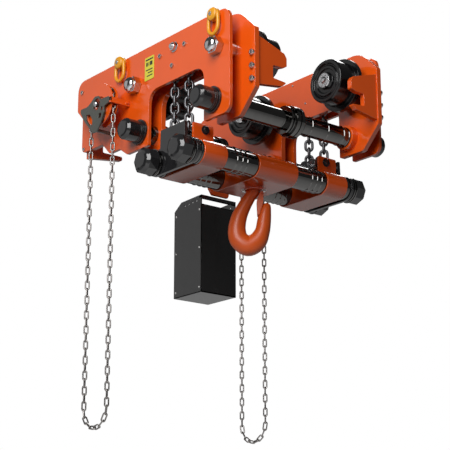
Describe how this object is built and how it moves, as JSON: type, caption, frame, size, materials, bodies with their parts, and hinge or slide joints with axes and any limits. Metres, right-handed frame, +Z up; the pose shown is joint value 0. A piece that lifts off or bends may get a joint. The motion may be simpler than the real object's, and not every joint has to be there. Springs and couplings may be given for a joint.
{
  "type": "electric chain hoist",
  "caption": "Low-headroom chain hoist built into a geared beam trolley, with a wide load block, a swivel hook, hand chains and a chain container.",
  "frame": {"origin": "on the beam: the level of the flange surface that the four wheels roll on, half way between the wheels in X and Y", "axes": "X across the beam, Y along the beam towards the chain container, +Z up"},
  "size_m": [0.832, 1.03, 1.2705],
  "materials": {
    "orange_paint": "gloss",
    "black_paint": "gloss",
    "chrome": "bright",
    "yellow_paint": "gloss",
    "steel": "satin",
    "chain_steel": "zinc plated",
    "grey_paint": "satin",
    "dark_sheet": "satin",
    "label": "satin"
  },
  "bodies": {
    "trolley_frame": {"left_outer_plate": "orange_paint", "right_outer_plate": "orange_paint", "left_inner_plate": "orange_paint", "right_inner_plate": "orange_paint", "left_front_bracket": "orange_paint", "right_front_bracket": "orange_paint", "left_rear_bracket": "orange_paint", "right_rear_bracket": "orange_paint", "front_cross_shaft": "black_paint", "rear_cross_shaft": "black_paint", "left_front_shaft_nut": "black_paint", "right_front_shaft_nut": "black_paint", "left_rear_shaft_nut": "black_paint", "right_rear_shaft_nut": "black_paint", "left_front_axle": "chrome", "right_front_axle": "chrome", "left_rear_axle": "chrome", "right_rear_axle": "chrome", "left_top_sheave_pin": "chrome", "load_chain_wheel_pin": "chrome", "trolley_hand_chain": "chain_steel", "hoist_hand_chain": "chain_steel", "trolley_chain_guide": "grey_paint", "hoist_chain_guide": "grey_paint", "lift_gear_case": "grey_paint", "chain_container": "dark_sheet", "capacity_plate": "label"},
    "left_front_wheel_set": {"left_front_wheel": "black_paint"},
    "right_front_wheel_set": {"right_front_wheel": "black_paint"},
    "left_rear_wheel_set": {"left_rear_wheel": "black_paint"},
    "right_rear_wheel_set": {"right_rear_wheel": "black_paint"},
    "trolley_drive": {"trolley_hand_wheel": "orange_paint", "trolley_drive_shaft": "steel"},
    "lift_drive": {"hoist_hand_wheel": "orange_paint", "hoist_drive_shaft": "steel"},
    "lift_chain_wheel": {"load_chain_wheel": "steel"},
    "left_return_sheave": {"left_top_sheave": "steel"},
    "load_block": {"block_centre_housing": "orange_paint", "left_block_housing": "orange_paint", "right_block_housing": "orange_paint", "left_block_end_plate": "black_paint", "right_block_end_plate": "black_paint", "block_front_bar": "black_paint", "block_rear_bar": "black_paint", "left_block_sheave_pin": "black_paint", "right_block_sheave_pin": "black_paint", "left_load_chain_1": "steel", "left_load_chain_2": "steel", "right_load_chain_1": "steel", "right_load_chain_2": "steel"},
    "left_sheave_1": {"left_block_sheave_1": "steel"},
    "left_sheave_2": {"left_block_sheave_2": "steel"},
    "right_sheave_1": {"right_block_sheave_1": "steel"},
    "right_sheave_2": {"right_block_sheave_2": "steel"},
    "hook_body": {"hook": "orange_paint"},
    "latch": {"hook_latch": "orange_paint"},
    "left_front_ring": {"left_front_load_ring": "yellow_paint"},
    "right_front_ring": {"right_front_load_ring": "yellow_paint"},
    "left_rear_ring": {"left_rear_load_ring": "yellow_paint"},
    "right_rear_ring": {"right_rear_load_ring": "yellow_paint"}
  },
  "joints": [
    {"name": "left_front_wheel_spin", "type": "hinge", "parent": "trolley_frame", "child": "left_front_wheel_set", "pos_m": [0, -0.218, 0.075], "axis": [1, 0, 0], "continuous": true},
    {"name": "right_front_wheel_spin", "type": "hinge", "parent": "trolley_frame", "child": "right_front_wheel_set", "pos_m": [0, -0.218, 0.075], "axis": [1, 0, 0], "continuous": true},
    {"name": "left_rear_wheel_spin", "type": "hinge", "parent": "trolley_frame", "child": "left_rear_wheel_set", "pos_m": [0, 0.218, 0.075], "axis": [1, 0, 0], "continuous": true},
    {"name": "right_rear_wheel_spin", "type": "hinge", "parent": "trolley_frame", "child": "right_rear_wheel_set", "pos_m": [0, 0.218, 0.075], "axis": [1, 0, 0], "continuous": true},
    {"name": "trolley_hand_wheel_turn", "type": "hinge", "parent": "trolley_frame", "child": "trolley_drive", "pos_m": [0, 0.33921, 0.028], "axis": [1, 0, 0], "continuous": true},
    {"name": "hoist_hand_wheel_turn", "type": "hinge", "parent": "trolley_frame", "child": "lift_drive", "pos_m": [0, 0.456, 0.07], "axis": [1, 0, 0], "range_deg": [-14400, 9000]},
    {"name": "block_lift", "type": "slide", "parent": "trolley_frame", "child": "load_block", "axis": [0, 0, 1], "range_m": [-0.0942, 0.0589]},
    {"name": "load_chain_wheel_turn", "type": "hinge", "parent": "trolley_frame", "child": "lift_chain_wheel", "pos_m": [0, 0.083, 0.148], "axis": [1, 0, 0], "continuous": true},
    {"name": "left_return_sheave_turn", "type": "hinge", "parent": "trolley_frame", "child": "left_return_sheave", "pos_m": [0, 0.008, 0.148], "axis": [1, 0, 0], "continuous": true},
    {"name": "left_sheave_1_turn", "type": "hinge", "parent": "load_block", "child": "left_sheave_1", "pos_m": [-0.262, 0, -0.146], "axis": [0, 1, 0], "continuous": true},
    {"name": "left_sheave_2_turn", "type": "hinge", "parent": "load_block", "child": "left_sheave_2", "pos_m": [-0.262, 0, -0.146], "axis": [0, 1, 0], "continuous": true},
    {"name": "right_sheave_1_turn", "type": "hinge", "parent": "load_block", "child": "right_sheave_1", "pos_m": [0.262, 0, -0.146], "axis": [0, 1, 0], "continuous": true},
    {"name": "right_sheave_2_turn", "type": "hinge", "parent": "load_block", "child": "right_sheave_2", "pos_m": [0.262, 0, -0.146], "axis": [0, 1, 0], "continuous": true},
    {"name": "hook_swivel", "type": "hinge", "parent": "load_block", "child": "hook_body", "pos_m": [0, 0, -0.275], "axis": [0, 0, 1], "continuous": true},
    {"name": "hook_latch_swing", "type": "hinge", "parent": "hook_body", "child": "latch", "pos_m": [0.02009, -0.0165, -0.29], "axis": [0.6347, 0.7728, 0], "range_deg": [0, 20], "stiffness_Nm_per_rad": 0.6, "springref_deg": -22.92},
    {"name": "left_front_ring_swing", "type": "hinge", "parent": "trolley_frame", "child": "left_front_ring", "pos_m": [0, -0.208, 0.183], "axis": [1, 0, 0], "continuous": true},
    {"name": "left_rear_ring_swing", "type": "hinge", "parent": "trolley_frame", "child": "left_rear_ring", "pos_m": [0, 0.303, 0.183], "axis": [1, 0, 0], "continuous": true},
    {"name": "right_front_ring_swing", "type": "hinge", "parent": "trolley_frame", "child": "right_front_ring", "pos_m": [0, -0.208, 0.183], "axis": [1, 0, 0], "continuous": true},
    {"name": "right_rear_ring_swing", "type": "hinge", "parent": "trolley_frame", "child": "right_rear_ring", "pos_m": [0, 0.303, 0.183], "axis": [1, 0, 0], "continuous": true}
  ],
  "couplings": [
    {"joint": "trolley_hand_wheel_turn", "follows": "left_rear_wheel_spin", "ratio": -2.25},
    {"joint": "hoist_hand_wheel_turn", "follows": "block_lift", "rad_per_m": 2666.7},
    {"joint": "load_chain_wheel_turn", "follows": "block_lift", "rad_per_m": -106.67},
    {"joint": "left_return_sheave_turn", "follows": "block_lift", "rad_per_m": -53.333},
    {"joint": "left_sheave_1_turn", "follows": "block_lift", "rad_per_m": 30.769},
    {"joint": "right_sheave_1_turn", "follows": "block_lift", "rad_per_m": 30.769},
    {"joint": "left_sheave_2_turn", "follows": "block_lift", "rad_per_m": -92.308},
    {"joint": "right_sheave_2_turn", "follows": "block_lift", "rad_per_m": -92.308}
  ]
}
